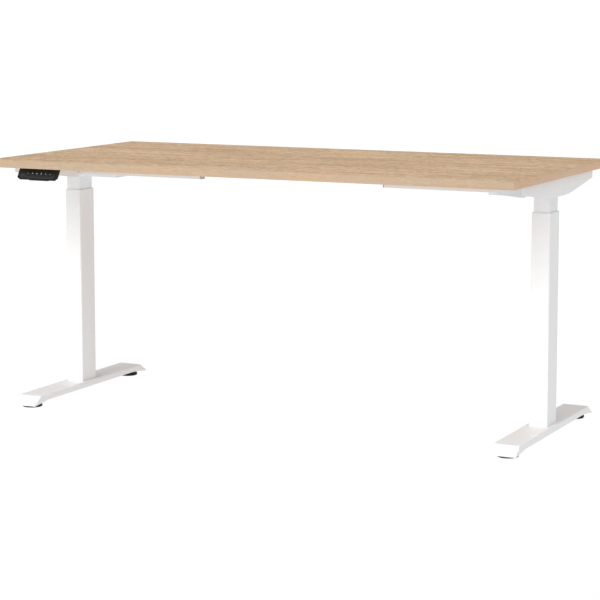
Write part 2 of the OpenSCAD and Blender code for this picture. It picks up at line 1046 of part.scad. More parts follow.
// One key: cap, retaining flange behind the panel and plunger
module key(i) {
    color("lightgray")
        at_key(i) {
            along_z(-2.2, key_proud)
                round_rect(key_w, key_h, 1.5);
            along_z(-3.2, -2.2 + eps)
                square([key_w + 1.6, key_h + 1.4], center = true);
            rod(2, -4.4, -3.2 + eps);
        }
}

// ---- parts ----------------------------------------------------------------

tabletop_board();
edge_bands();
side_arm(-1);  // side_arm_left
side_arm(1);  // side_arm_right
outer_rail(-1, 1);  // outer_rail_front_left
outer_rail(1, -1);  // outer_rail_front_right
outer_rail(-1, -1);  // outer_rail_rear_left
outer_rail(1, 1);  // outer_rail_rear_right
inner_rails();
rail_bushes();
rail_clamp_screws();
frame_screws();
tabletop_screws();
head_bracket(-1);  // head_bracket_left
head_bracket(1);  // head_bracket_right
gearbox(-1);  // gearbox_left
gearbox(1);  // gearbox_right
gearbox_lids();
gearbox_screws();
motor(-1);  // motor_left
motor(1);  // motor_right
spindle_bearings();
column_inner(-1);  // column_inner_left
column_inner(1);  // column_inner_right
lower_glides();
spindle(-1);  // spindle_left
spindle(1);  // spindle_right
crown_gear(-1);  // crown_gear_left
crown_gear(1);  // crown_gear_right
pinion_shaft(-1);  // pinion_shaft_left
pinion_shaft(1);  // pinion_shaft_right
foot(-1);  // foot_left
foot(1);  // foot_right
column_outer(-1);  // column_outer_left
column_outer(1);  // column_outer_right
upper_glide(-1);  // upper_glide_left
upper_glide(1);  // upper_glide_right
nut_tube(-1);  // nut_tube_left
nut_tube(1);  // nut_tube_right
spindle_nut(-1);  // spindle_nut_left
spindle_nut(1);  // spindle_nut_right
foot_bolts(-1);  // foot_bolts_left
foot_bolts(1);  // foot_bolts_right
levelling_foot(-1, -1);  // levelling_foot_front_left
levelling_foot(-1, 1);  // levelling_foot_rear_left
levelling_foot(1, -1);  // levelling_foot_front_right
levelling_foot(1, 1);  // levelling_foot_rear_right
control_box_case();
control_box_lid();
control_board();
socket_block();
handset_case();
handset_panel();
handset_board();
key(0);  // button_preset_1
key(1);  // button_preset_2
key(2);  // button_preset_3
key(3);  // button_store
key(4);  // button_up
key(5);  // button_down
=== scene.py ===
"""Looks of a height adjustable standing desk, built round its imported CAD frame.

Metres: the origin is on the floor under the middle of the top, +X is the right of a person
who sits at the desk, -Y points at that person and +Z is up.
Pieces of a column are drawn for the right side; the left ones are turned half a turn about Z.
"""
import math

import bmesh
import bpy
from mathutils import Matrix, Vector


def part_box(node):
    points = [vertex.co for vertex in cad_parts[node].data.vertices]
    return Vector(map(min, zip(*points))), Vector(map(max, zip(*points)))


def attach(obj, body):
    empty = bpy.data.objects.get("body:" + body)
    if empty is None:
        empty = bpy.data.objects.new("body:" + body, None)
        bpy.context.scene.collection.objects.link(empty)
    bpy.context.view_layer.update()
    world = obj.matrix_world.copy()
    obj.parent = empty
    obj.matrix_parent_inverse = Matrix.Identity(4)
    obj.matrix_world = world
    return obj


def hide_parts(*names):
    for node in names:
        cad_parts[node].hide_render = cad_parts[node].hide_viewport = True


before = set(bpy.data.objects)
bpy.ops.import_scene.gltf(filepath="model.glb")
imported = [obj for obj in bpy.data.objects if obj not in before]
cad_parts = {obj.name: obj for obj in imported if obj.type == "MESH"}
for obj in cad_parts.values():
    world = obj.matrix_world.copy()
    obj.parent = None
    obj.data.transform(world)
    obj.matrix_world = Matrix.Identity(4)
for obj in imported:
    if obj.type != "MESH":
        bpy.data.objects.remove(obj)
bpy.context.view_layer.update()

MM = 0.001
# Faces that meet at more degrees than this have a crisp edge between them.
CREASE = 32
LIFT = "lift_frame"
SIDES = (("left", Matrix.Rotation(math.pi, 4, "Z")), ("right", Matrix.Identity(4)))


# ---- outlines ---------------------------------------------------------------

def rounded(corners, radius, steps=5):
    """The outline through 2-D corners, each rounded by an arc; a corner may give its own radius."""
    points = []
    count = len(corners)
    for i, corner in enumerate(corners):
        here = Vector(corner[:2])
        r = corner[2] if len(corner) > 2 else radius
        to_last = (Vector(corners[i - 1][:2]) - here).normalized()
        to_next = (Vector(corners[(i + 1) % count][:2]) - here).normalized()
        half = to_last.angle(to_next) / 2
        if r < 1e-6 or half > math.pi / 2 - 1e-3:
            points += [here.copy() for _ in range(steps + 1)]
            continue
        centre = here + (to_last + to_next).normalized() * (r / math.sin(half))
        first = here + to_last * (r / math.tan(half)) - centre
        last = here + to_next * (r / math.tan(half)) - centre
        turn = first.angle_signed(last)
        for k in range(steps + 1):
            points.append(centre + Matrix.Rotation(-turn * k / steps, 2) @ first)
    return points


def rectangle(width, depth, radius, steps=5, centre=(0, 0)):
    """A rectangle with round corners."""
    x, y = width / 2, depth / 2
    corners = [(-x, -y), (x, -y), (x, y), (-x, y)]
    return [p + Vector(centre) for p in rounded(corners, radius, steps)]


def circle(radius, steps, centre=(0, 0)):
    """A circle, or with few steps a polygon."""
    return [
        Vector(centre) + Vector((math.cos(a), math.sin(a))) * radius
        for a in (2 * math.pi * k / steps for k in range(steps))
    ]


def placed(outline, axis, at):
    """A 2-D outline as 3-D points in the plane across an axis: (Y, Z), (X, Z) or (X, Y)."""
    if axis == "X":
        return [Vector((at, u, v)) for u, v in outline]
    if axis == "Y":
        return [Vector((u, at, v)) for u, v in outline]
    return [Vector((u, v, at)) for u, v in outline]


# ---- solids -----------------------------------------------------------------

def skin(bm, loops, ring=False, folded=False):
    """Skins loops of equally many points.

    A ring closes on itself, otherwise the ends are capped. The loops of folded sheet go along the
    outside and back along the inside, and their caps join the two.
    """
    rows = [[bm.verts.new(p) for p in loop] for loop in loops]
    following = rows[1:] + [rows[0]] if ring else rows[1:]
    for low, high in zip(rows, following):
        for i in range(len(low)):
            j = (i + 1) % len(low)
            bm.faces.new((low[i], low[j], high[j], high[i]))
    if folded:
        for row in (rows[0], rows[-1]):
            last = len(row) - 1
            for i in range(len(row) // 2 - 1):
                bm.faces.new((row[i], row[i + 1], row[last - i - 1], row[last - i]))
    elif not ring:
        bm.faces.new(rows[0][::-1])
        bm.faces.new(rows[-1])
    return bm


def prism(bm, outline, axis, low, high):
    """An outline extruded along an axis."""
    return skin(bm, [placed(outline, axis, low), placed(outline, axis, high)])


def tube(bm, outer, inner, axis, low, high):
    """A tube between two outlines of equally many points."""
    loops = [
        placed(outer, axis, low),
        placed(outer, axis, high),
        placed(inner, axis, high),
        placed(inner, axis, low),
    ]
    return skin(bm, loops, ring=True)


def joined(bm, part, place=None):
    """Adds another solid, moved to its place."""
    if place is not None:
        part.transform(place)
    mesh = bpy.data.meshes.new("part")
    part.to_mesh(mesh)
    part.free()
    bm.from_mesh(mesh)
    bpy.data.meshes.remove(mesh)
    return bm


def lathe(bm, profile, steps, centre):
    """A closed (radius, height) profile turned about a vertical axis."""
    loops = []
    for k in range(steps):
        a = 2 * math.pi * k / steps
        spin = Vector((math.cos(a), math.sin(a), 0))
        loops.append([Vector(centre) + spin * r + Vector((0, 0, z)) for r, z in profile])
    solid = skin(bmesh.new(), loops, ring=True)
    bmesh.ops.remove_doubles(solid, verts=solid.verts[:], dist=1e-6)
    return joined(bm, solid)


def threaded_rod(bm, radius, depth, pitch, low, high, centre):
    """A rod whose radius follows a round thread, which fades out at both ends."""
    steps = 20
    rows_per_turn = 5
    count = max(2, int((high - low) / (pitch / rows_per_turn)))
    loops = []
    for row in range(count + 1):
        z = low + (high - low) * row / count
        fade = min(1.0, 2.0 * min(row, count - row) / rows_per_turn)
        loop = []
        for k in range(steps):
            a = 2 * math.pi * k / steps
            wave = 0.5 - 0.5 * math.cos(2 * math.pi * z / pitch - a)
            r = radius - depth * (1 - fade + fade * wave)
            loop.append(Vector((centre[0] + r * math.cos(a), centre[1] + r * math.sin(a), z)))
        loops.append(loop)
    return skin(bm, loops)


def cleaned(bm):
    """Closes up points that coincide, drops stray edges and turns every face outwards."""
    bmesh.ops.dissolve_degenerate(bm, dist=1e-7, edges=bm.edges[:])
    loose = [e for e in bm.edges if not e.link_faces]
    bmesh.ops.delete(bm, geom=loose, context="EDGES")
    bmesh.ops.recalc_face_normals(bm, faces=bm.faces)
    return bm


def mesh_from(name, bm, sharp=CREASE):
    """A linked object with smooth faces, and crisp edges where they turn by more than sharp degrees."""
    mesh = bpy.data.meshes.new(name)
    cleaned(bm).to_mesh(mesh)
    bm.free()
    mesh.shade_smooth()
    mesh.set_sharp_from_angle(angle=math.radians(sharp))
    piece = bpy.data.objects.new(name, mesh)
    bpy.context.scene.collection.objects.link(piece)
    return piece


def eased(piece, width, segments=2, angle=34):
    """Rounds the piece's sharp edges a little, so that they catch the light."""
    bevel = piece.modifiers.new("eased edges", "BEVEL")
    bevel.width = width
    bevel.segments = segments
    bevel.limit_method = "ANGLE"
    bevel.angle_limit = math.radians(angle)
    bevel.harden_normals = True
    return piece


def baked(piece):
    """The piece with its modifiers applied."""
    graph = bpy.context.evaluated_depsgraph_get()
    mesh = bpy.data.meshes.new_from_object(piece.evaluated_get(graph))
    piece.modifiers.clear()
    piece.data = mesh
    return piece


def carved(piece, cutter_bm):
    """The piece less the cutter's solids."""
    cutter = mesh_from(piece.name + ".cutter", cutter_bm)
    cut = piece.modifiers.new("cut", "BOOLEAN")
    cut.operation = "DIFFERENCE"
    cut.solver = "EXACT"
    cut.object = cutter
    baked(piece)
    bpy.data.objects.remove(cutter)
    piece.data.set_sharp_from_angle(angle=math.radians(CREASE))
    return piece


def common(name, bm, other_bm):
    """A piece that fills the space two solids share."""
    piece = mesh_from(name, bm, 40)
    other = mesh_from(name + ".other", other_bm)
    limit = piece.modifiers.new("limit", "BOOLEAN")
    limit.operation = "INTERSECT"
    limit.solver = "EXACT"
    limit.object = other
    baked(piece)
    bpy.data.objects.remove(other)
    return piece


def settle(piece, body, material, node):
    """Gives a finished piece its body and material, and hides the CAD node that it stands for."""
    piece.data.materials.clear()
    piece.data.materials.append(M[material])
    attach(piece, body)
    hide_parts(node)


def settle_white(piece, body, node):
    """Settles a powder-coated piece."""
    settle(piece, body, "white", node)


def settle_black(piece, node):
    """Settles a black plastic piece of the lifting frame."""
    settle(piece, LIFT, "black_plastic", node)


# ---- materials --------------------------------------------------------------

def put(tree, value, socket):
    """Links an output to a socket, or writes a plain value."""
    if isinstance(value, bpy.types.NodeSocket):
        tree.links.new(value, socket)
    else:
        socket.default_value = value


def add_node(tree, kind, **inputs):
    """A new shader node with its inputs linked or set."""
    node = tree.nodes.new("ShaderNode" + kind)
    for socket, value in inputs.items():
        put(tree, value, node.inputs[socket.replace("_", " ")])
    return node


def add_level(tree, value, low, high, to_low, to_high):
    """Maps a range of a value on another, clamped."""
    node = add_node(tree, "MapRange", Value=value, From_Min=low, From_Max=high,
                    To_Min=to_low, To_Max=to_high)
    return node.outputs["Result"]


def add_math(tree, operation, *values):
    """The result of an operation on two or three values."""
    node = add_node(tree, "Math")
    node.operation = operation
    for value, socket in zip(values, node.inputs):
        put(tree, value, socket)
    return node.outputs["Value"]


class Recipe:
    """A procedural material under construction, in the piece's own coordinates."""

    def __init__(self, name, **settings):
        self.material = bpy.data.materials.new(name)
        self.material.use_nodes = True
        self.tree = self.material.node_tree
        self.shader = self.tree.nodes["Principled BSDF"]
        self.place = add_node(self.tree, "TexCoord").outputs["Object"]
        for socket, value in settings.items():
            self.shader.inputs[socket.replace("_", " ")].default_value = value

    def stretched(self, scale, shift=(0, 0, 0)):
        """The place, scaled along each axis and shifted."""
        node = add_node(self.tree, "Mapping", Vector=self.place, Scale=scale, Location=shift)
        return node.outputs["Vector"]

    def noise(self, vector, scale, detail=4.0, roughness=0.5, distortion=0.0):
        """Cloudy noise around 0.5."""
        node = add_node(self.tree, "TexNoise", Vector=vector, Scale=scale, Detail=detail,
                        Roughness=roughness, Distortion=distortion)
        return node.outputs["Fac"]

    def cells(self, vector, scale):
        """Distance to the middle of the nearest cell."""
        return add_node(self.tree, "TexVoronoi", Vector=vector, Scale=scale).outputs["Distance"]

    def level(self, value, *limits):
        """Maps a range of a value on another: from low to high, and to low and high."""
        return add_level(self.tree, value, *limits)

    def math(self, operation, *values):
        """The result of an operation."""
        return add_math(self.tree, operation, *values)

    def ramp(self, value, *stops):
        """A colour ramp; each stop is (position, colour)."""
        node = add_node(self.tree, "ValToRGB", Fac=value)
        elements = node.color_ramp.elements
        while len(elements) < len(stops):
            elements.new(0.5)
        for element, (position, colour) in zip(elements, stops):
            element.position = position
            element.color = (*colour, 1.0)
        return node.outputs["Color"]

    def mix(self, factor, a, b, blend="MIX"):
        """Mixes two colours."""
        node = add_node(self.tree, "Mix")
        node.data_type = "RGBA"
        node.blend_type = blend
        for value, index in ((factor, 0), (a, 6), (b, 7)):
            put(self.tree, value, node.inputs[index])
        return node.outputs[2]

    def tint(self, colour, factor):
        """A colour multiplied by a grey value."""
        return self.mix(1.0, colour, self.ramp(factor, (0.0, (0, 0, 0)), (1.0, (1, 1, 1))), "MULTIPLY")

    def bump(self, height, depth, below=None):
        """Raises the surface by a height of 0 to 1 times depth, on top of another bump."""
        node = add_node(self.tree, "Bump", Strength=1.0, Distance=depth, Height=height)
        if below is not None:
            put(self.tree, below, node.inputs["Normal"])
        return node.outputs["Normal"]

    def done(self, colour, roughness, normal):
        """Connects what varies over the surface and gives the material."""
        for socket, value in (("Base Color", colour), ("Roughness", roughness), ("Normal", normal)):
            put(self.tree, value, self.shader.inputs[socket])
        return self.material


def oak(name, along, pale, mid, dark, shift, figure):
    """Oak decor under a matt lacquer, with its grain along X or along Y.

    The tones lie figure apart on the mixed grain's scale, so a small figure makes a strong contrast.
    """
    recipe = Recipe(name, Coat_Weight=0.05, Coat_Roughness=0.4)

    def grain(lengthwise, across, detail, roughness, distortion=0.0):
        scale = (lengthwise, across, across) if along == "X" else (across, lengthwise, across)
        return recipe.noise(recipe.stretched(scale, shift), 1.0, detail, roughness, distortion)

    drift = grain(1.6, 14, 3.0, 0.5, 0.5)
    streak = grain(4.0, 60, 5.0, 0.6, 0.9)
    figured = grain(34, 190, 4.0, 0.6, 0.5)
    fleck = grain(105, 430, 4.0, 0.6, 0.3)
    fibre = grain(26, 900, 5.0, 0.62)
    pores = grain(70, 2300, 3.0, 0.55)
    blush = grain(6, 60, 3.0, 0.55, 0.3)
    # The shares of the four scales of figure add up to one.
    mixed = recipe.math("MULTIPLY", drift, 0.10)
    for part, share in ((streak, 0.21), (figured, 0.31), (fleck, 0.38)):
        mixed = recipe.math("ADD", mixed, recipe.math("MULTIPLY", part, share))
    colour = recipe.ramp(mixed, (0.5 - figure, dark), (0.5, mid), (0.5 + figure, pale))
    rosy = recipe.mix(1.0, colour, (1.06, 0.98, 0.90, 1.0), "MULTIPLY")
    colour = recipe.mix(recipe.level(blush, 0.47, 0.57, 0.0, 1.0), colour, rosy)
    colour = recipe.tint(colour, recipe.level(fibre, 0.30, 0.70, 0.84, 1.04))
    pit = recipe.level(pores, 0.58, 0.68, 0.0, 1.0)
    colour = recipe.tint(colour, recipe.level(pit, 0.0, 1.0, 1.0, 0.70))
    roughness = recipe.level(streak, 0.3, 0.7, 0.55, 0.45)
    relief = recipe.bump(recipe.math("SUBTRACT", fibre, pit), 30e-6)
    relief = recipe.bump(streak, 60e-6, relief)
    return recipe.done(colour, roughness, relief)


def powder_coat(name, colour):
    """Fine-textured powder coat: an orange peel with a finer sparkle of grains on it."""
    recipe = Recipe(name)
    peel = recipe.noise(recipe.place, 420.0, 3.0, 0.5)
    grains = recipe.cells(recipe.place, 1500.0)
    cloud = recipe.noise(recipe.place, 7.0, 3.0, 0.55)
    shade = recipe.mix(cloud, tuple(c * 0.985 for c in colour) + (1.0,), (*colour, 1.0))
    shade = recipe.tint(shade, recipe.level(peel, 0.35, 0.65, 0.985, 1.0))
    relief = recipe.bump(peel, 25e-6)
    relief = recipe.bump(grains, 12e-6, relief)
    roughness = recipe.level(recipe.noise(recipe.place, 60.0, 3.0), 0.35, 0.65, 0.44, 0.54)
    return recipe.done(shade, roughness, relief)


def moulded(name, colour, smooth, rough, grain=900.0, depth=18e-6, specular=0.5):
    """Moulded plastic or rubber with a fine spark-eroded texture and a few rubbed spots."""
    recipe = Recipe(name, Specular_IOR_Level=specular)
    leather = recipe.cells(recipe.place, grain)
    cloud = recipe.noise(recipe.place, 22.0, 4.0, 0.6)
    pale = tuple(min(1.0, c * 1.25 + 0.004) for c in colour) + (1.0,)
    shade = recipe.mix(recipe.level(cloud, 0.35, 0.7, 0.0, 1.0), (*colour, 1.0), pale)
    relief = recipe.bump(leather, depth)
    relief = recipe.bump(recipe.noise(recipe.place, grain * 2.4, 2.0), depth * 0.5, relief)
    roughness = recipe.level(cloud, 0.3, 0.7, smooth, rough)
    return recipe.done(shade, roughness, relief)


def metal(name, colour, smooth, rough, stretch=(300, 300, 20)):
    """Bare or plated metal with fine drawing lines."""
    recipe = Recipe(name, Metallic=1.0)
    lines = recipe.noise(recipe.stretched(stretch), 12.0, 4.0, 0.6)
    cloud = recipe.noise(recipe.place, 45.0, 4.0, 0.6)
    dull = tuple(c * 0.82 for c in colour) + (1.0,)
    shade = recipe.mix(recipe.level(cloud, 0.35, 0.65, 0.0, 1.0), dull, (*colour, 1.0))
    roughness = recipe.level(cloud, 0.3, 0.7, rough, smooth)
    return recipe.done(shade, roughness, recipe.bump(lines, 6e-6))


def cast(name, colour):
    """Sand-cast aluminium: a pebbled matt skin."""
    recipe = Recipe(name, Metallic=1.0)
    pebbles = recipe.noise(recipe.place, 700.0, 5.0, 0.65)
    cloud = recipe.noise(recipe.place, 35.0, 3.0)
    shade = recipe.mix(cloud, tuple(c * 0.75 for c in colour) + (1.0,), (*colour, 1.0))
    roughness = recipe.level(pebbles, 0.3, 0.7, 0.5, 0.72)
    return recipe.done(shade, roughness, recipe.bump(pebbles, 70e-6))


def solder_mask(name):
    """Circuit board lacquer over a pattern of tracks."""
    recipe = Recipe(name, Coat_Weight=0.4, Coat_Roughness=0.12)
    bricks = add_node(recipe.tree, "TexBrick", Vector=recipe.place, Scale=160.0, Mortar_Size=0.03)
    tracks = bricks.outputs["Fac"]
    shade = recipe.mix(tracks, (0.012, 0.11, 0.035, 1.0), (0.03, 0.2, 0.07, 1.0))
    cloud = recipe.noise(recipe.place, 90.0)
    roughness = recipe.level(cloud, 0.3, 0.7, 0.28, 0.4)
    return recipe.done(shade, roughness, recipe.bump(tracks, 20e-6))


def chipboard(name):
    """The pressed chips of the board's core."""
    recipe = Recipe(name)
    chips = recipe.cells(recipe.stretched((240, 300, 700)), 1.0)
    shade = recipe.ramp(chips, (0.1, (0.30, 0.21, 0.12)), (0.7, (0.56, 0.43, 0.28)))
    roughness = recipe.level(chips, 0.0, 1.0, 0.75, 0.9)
    return recipe.done(shade, roughness, recipe.bump(chips, 150e-6))


OAK_TONES = {"pale": (0.98, 0.755, 0.525), "mid": (0.73, 0.50, 0.288), "dark": (0.39, 0.225, 0.10)}
BAND_TONES = {
    "pale": (0.64, 0.485, 0.345), "mid": (0.585, 0.435, 0.295), "dark": (0.52, 0.375, 0.245),
}
END_TONES = {"pale": (0.71, 0.495, 0.325), "mid": (0.65, 0.44, 0.278), "dark": (0.575, 0.38, 0.23)}
FINE = {"grain": 1600.0, "depth": 8e-6, "specular": 0.3}
M = {
    "oak": oak("oak decor", "X", shift=(3.1, 1.7, 0.4), figure=0.072, **OAK_TONES),
    "oak_band_x": oak("oak edge along X", "X", shift=(8.3, 5.2, 2.2), figure=0.16, **BAND_TONES),
    "oak_band_y": oak("oak edge along Y", "Y", shift=(1.9, 9.4, 5.1), figure=0.16, **END_TONES),
    "chipboard": chipboard("chipboard"),
    "white": powder_coat("white powder coat", (0.80, 0.80, 0.805)),
    "zinc": metal("zinc plated steel", (0.66, 0.66, 0.68), 0.28, 0.42),
    "steel": metal("ground steel", (0.55, 0.56, 0.58), 0.22, 0.34),
    "aluminium": cast("cast aluminium", (0.62, 0.63, 0.65)),
    "motor": moulded("motor enamel", (0.03, 0.03, 0.033), 0.3, 0.42, grain=500.0),
    "brass": metal("gear brass", (0.78, 0.58, 0.27), 0.25, 0.4, (200, 200, 200)),
    "acetal": moulded("natural acetal", (0.80, 0.78, 0.70), 0.35, 0.45, grain=600.0, depth=8e-6),
    "grey_plastic": moulded("grey plastic", (0.36, 0.36, 0.36), 0.45, 0.58),
    "black_plastic": moulded("black plastic", (0.005, 0.005, 0.005), 0.42, 0.56, specular=0.12),
    "face": moulded("handset face", (0.009, 0.0085, 0.0095), 0.34, 0.44, **FINE),
    "key": moulded("key caps", (0.008, 0.008, 0.009), 0.38, 0.48, **FINE),
    "glass": moulded("smoked display window", (0.006, 0.006, 0.007), 0.07, 0.12, grain=40.0, depth=1e-6),
    "segment": moulded("unlit segments", (0.030, 0.030, 0.033), 0.3, 0.4),
    "mark": moulded("printed marks", (0.62, 0.62, 0.62), 0.5, 0.6, grain=2500.0, depth=3e-6),
    "rubber": moulded("black rubber", (0.004, 0.004, 0.004), 0.38, 0.50, grain=700.0, specular=0.2),
    "board": solder_mask("circuit board"),
}


# ---- sizes taken from the frame -----------------------------------------------

top_low, top_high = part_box("edge_bands")
UNDER = top_low.z
arm_low, arm_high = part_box("side_arm_right")
foot_low, foot_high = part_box("foot_right")
outer_low, outer_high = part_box("column_outer_right")
inner_low, inner_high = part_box("column_inner_right")
pad_low, pad_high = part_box("levelling_foot_front_right")
COLUMN_X = (outer_low.x + outer_high.x) / 2
PAD_Y = -(pad_low.y + pad_high.y) / 2
STEEL_T = 2.5 * MM


# ---- tabletop -----------------------------------------------------------------

BAND_T = 1.0 * MM
LAMINATE_T = 0.8 * MM


def band_section(face, sign):
    """Section of an edge band with its outer edges scraped round."""
    inside = face - sign * BAND_T
    corners = [(inside, UNDER, 0), (face, UNDER), (face, top_high.z), (inside, top_high.z, 0)]
    return rounded(corners, 0.85 * BAND_T)


def tabletop():
    """Core, the two laminates and the four edge bands with their scraped round edges."""
    width = top_high.x - top_low.x
    depth = top_high.y - top_low.y
    board = rectangle(width - 2 * BAND_T, depth - 2 * BAND_T, 0.0, 1)
    layers = (
        ("worktop_core", UNDER + LAMINATE_T, top_high.z - LAMINATE_T, "chipboard"),
        ("worktop_laminate", top_high.z - LAMINATE_T, top_high.z, "oak"),
        ("worktop_backing", UNDER, UNDER + LAMINATE_T, "oak"),
    )
    for name, low, high, material in layers:
        piece = mesh_from(name, prism(bmesh.new(), board, "Z", low, high))
        settle(piece, LIFT, material, "tabletop_board")
    for name, sign in (("front", -1), ("rear", 1)):
        outline = band_section(sign * depth / 2, sign)
        strip = mesh_from(f"edge_band_{name}", prism(bmesh.new(), outline, "X", -width / 2, width / 2))
        settle(eased(strip, 0.2 * MM), LIFT, "oak_band_x", "edge_bands")
    reach = depth / 2 - BAND_T
    for name, sign in (("left", -1), ("right", 1)):
        outline = band_section(sign * width / 2, sign)
        strip = mesh_from(f"edge_band_{name}", prism(bmesh.new(), outline, "Y", -reach, reach))
        settle(strip, LIFT, "oak_band_y", "edge_bands")


# ---- folded sheet ---------------------------------------------------------------

def channel_section(x0, x1, top, low0, low1, sheet, radius):
    """Section of a channel that is open below, in (X, Z); low0 and low1 are its flanges' lower edges."""
    shallow = max(low0, low1)
    web = max(top - sheet, shallow + 0.1 * MM)
    outer = min(radius, 0.45 * (top - shallow))
    outside = rounded([(x0, low0, 0), (x0, top, outer), (x1, top, outer), (x1, low1, 0)], 0, 6)
    fold = 0 if web - shallow < 0.5 * MM else 0.4 * MM
    right, left = x1 - sheet, x0 + sheet
    inside = rounded([(right, low1, 0), (right, web, fold), (left, web, fold), (left, low0, 0)], 0, 6)
    return outside + inside


def softened(distance, blend):
    """0 before a bend and the distance past it, joined by a parabola over the blend on both sides."""
    if distance <= -blend:
        return 0.0
    if distance >= blend:
        return distance
    return (distance + blend) ** 2 / (4 * blend)


ARM_FLAT = 85 * MM
ARM_DEEP = 51.5 * MM
ARM_SHALLOW = 23.5 * MM
ARM_BLEND = 24 * MM
ARM_FOLD_R = 3 * MM
ARM_TIP_R = 3 * MM
RAIL_CLEAR = 64 * MM


def arm_depth(y):
    """Depth of a side arm's flange: full over the column, tapered to both ends."""
    reach = arm_high.y
    slope = (ARM_DEEP - ARM_SHALLOW) / (reach - ARM_FLAT)
    return ARM_DEEP - slope * softened(abs(y) - ARM_FLAT, ARM_BLEND)


def side_arm(side, turn):
    """Folded arm, open below, whose inner flange stops where the rails pass."""
    reach = arm_high.y
    half = [0.0, 30 * MM, RAIL_CLEAR]
    half += [ARM_FLAT + ARM_BLEND * k / 4 for k in range(-3, 5)]
    half += [150 * MM, 220 * MM, reach - 2.2 * MM, reach - 0.8 * MM, reach]
    over_rails = UNDER - STEEL_T - 0.3 * MM
    loops = []
    for y in sorted({-y for y in half} | set(half)):
        past = max(0.0, abs(y) - (reach - ARM_TIP_R))
        low = UNDER - arm_depth(y) + ARM_TIP_R - math.sqrt(max(0.0, ARM_TIP_R ** 2 - past ** 2))
        if abs(y) > RAIL_CLEAR:
            inner_lows = [low]
        elif abs(y) < RAIL_CLEAR:
            inner_lows = [over_rails]
        else:
            inner_lows = [low, over_rails] if y < 0 else [over_rails, low]
        for inner_low in inner_lows:
            section = channel_section(arm_low.x, arm_high.x, UNDER, inner_low, low, STEEL_T, ARM_FOLD_R)
            loops.append(placed(section, "Y", y))
    bm = skin(bmesh.new(), loops, folded=True)
    bm.transform(turn)
    piece = eased(mesh_from(f"arm_{side}", bm), 0.45 * MM, 3)
    settle_white(piece, LIFT, f"side_arm_{side}")


FOOT_SHEET = 3 * MM
FOOT_FLAT = 289 * MM
FOOT_TIP_Z = 11 * MM
FOOT_FLANGE_Z = 17 * MM
FOOT_TAPER = 248 * MM
FOOT_BLEND = 3.5 * MM
FOOT_FOLD_R = 4 * MM
SLEEVE_R = 8 * MM
SLEEVE_Z = 12 * MM
STUD_R = 5 * MM


def foot(side, turn):
    """Folded foot: level top, ends that slope to the floor, flanges that taper to the tips."""
    reach = foot_high.y
    top = foot_high.z
    slope = (top - FOOT_TIP_Z) / (reach - FOOT_FLAT)
    lean = math.atan(slope)
    tip = reach - FOOT_SHEET * math.sin(lean)
    tip_low = FOOT_TIP_Z - FOOT_SHEET * math.cos(lean)
    half = [0.0, 100 * MM, 200 * MM, FOOT_TAPER]
    half += [FOOT_FLAT + FOOT_BLEND * k / 4 for k in range(-4, 5)]
    half += [FOOT_FLAT + (tip - FOOT_FLAT) * k / 4 for k in (2, 3, 4)]
    half += [reach - 0.5 * MM]
    loops = []
    for y in sorted({-y for y in half} | set(half)):
        far = abs(y)
        height = top - slope * softened(far - FOOT_FLAT, FOOT_BLEND)
        share = max(0.0, (far - FOOT_TAPER) / (tip - FOOT_TAPER))
        low = FOOT_FLANGE_Z + (tip_low - FOOT_FLANGE_Z) * min(1.0, share)
        if far > tip:
            low += (far - tip) * (FOOT_TIP_Z - tip_low) / (reach - tip) * 0.8
        sheet = FOOT_SHEET / math.cos(lean) if far > FOOT_FLAT + FOOT_BLEND else FOOT_SHEET
        section = channel_section(foot_low.x, foot_high.x, height, low, low, sheet, FOOT_FOLD_R)
        loops.append(placed(section, "Y", y))
    bm = skin(bmesh.new(), loops, folded=True)
    under = top - FOOT_SHEET
    bore = STUD_R + 0.1 * MM
    sleeve = [(SLEEVE_R, SLEEVE_Z), (SLEEVE_R, under), (bore, under), (bore, SLEEVE_Z)]
    weld = [
        (SLEEVE_R - 0.2 * MM, under), (SLEEVE_R + 2.2 * MM, under),
        (SLEEVE_R + 1.2 * MM, under - 1.3 * MM), (SLEEVE_R - 0.2 * MM, under - 2.2 * MM),
    ]
    for sign in (-1, 1):
        for profile in (sleeve, weld):
            lathe(bm, profile, 32, (COLUMN_X, sign * PAD_Y, 0))
    bm.transform(turn)
    piece = eased(mesh_from(f"foot_channel_{side}", bm), 0.5 * MM, 3)
    settle_white(piece, f"base_{side}", f"foot_{side}")


# ---- columns and rails ------------------------------------------------------------

TUBE_WALL = 1.5 * MM
CORNER_R = 4 * MM
RAIL_WALL = 2 * MM


def column_tube(name, low, high, radius, plate_low, plate_high, turn, body, node):
    """Rectangular tube with round corners, and the plate that is welded into one of its ends."""
    width = high.x - low.x
    depth = high.y - low.y
    at = (COLUMN_X, 0)
    bm = bmesh.new()
    outer = rectangle(width, depth, radius, 8, at)
    inner = rectangle(width - 2 * TUBE_WALL, depth - 2 * TUBE_WALL, radius - TUBE_WALL, 8, at)
    tube(bm, outer, inner, "Z", low.z, high.z)
    plate = rectangle(width - 2.4 * TUBE_WALL, depth - 2.4 * TUBE_WALL, radius - TUBE_WALL, 8, at)
    prism(bm, plate, "Z", plate_low, plate_high)
    bm.transform(turn)
    piece = eased(mesh_from(name, bm), 0.35 * MM, 3)
    settle_white(piece, body, node)


def columns(side, turn):
    """Both stages of a column."""
    column_tube(f"outer_tube_{side}", outer_low, outer_high, CORNER_R, outer_low.z + 0.2 * MM,
                outer_low.z + 8 * MM, turn, f"base_{side}", f"column_outer_{side}")
    column_tube(f"inner_tube_{side}", inner_low, inner_high, CORNER_R - 0.5 * MM, inner_high.z - 6 * MM,
                inner_high.z - 0.2 * MM, turn, LIFT, f"column_inner_{side}")


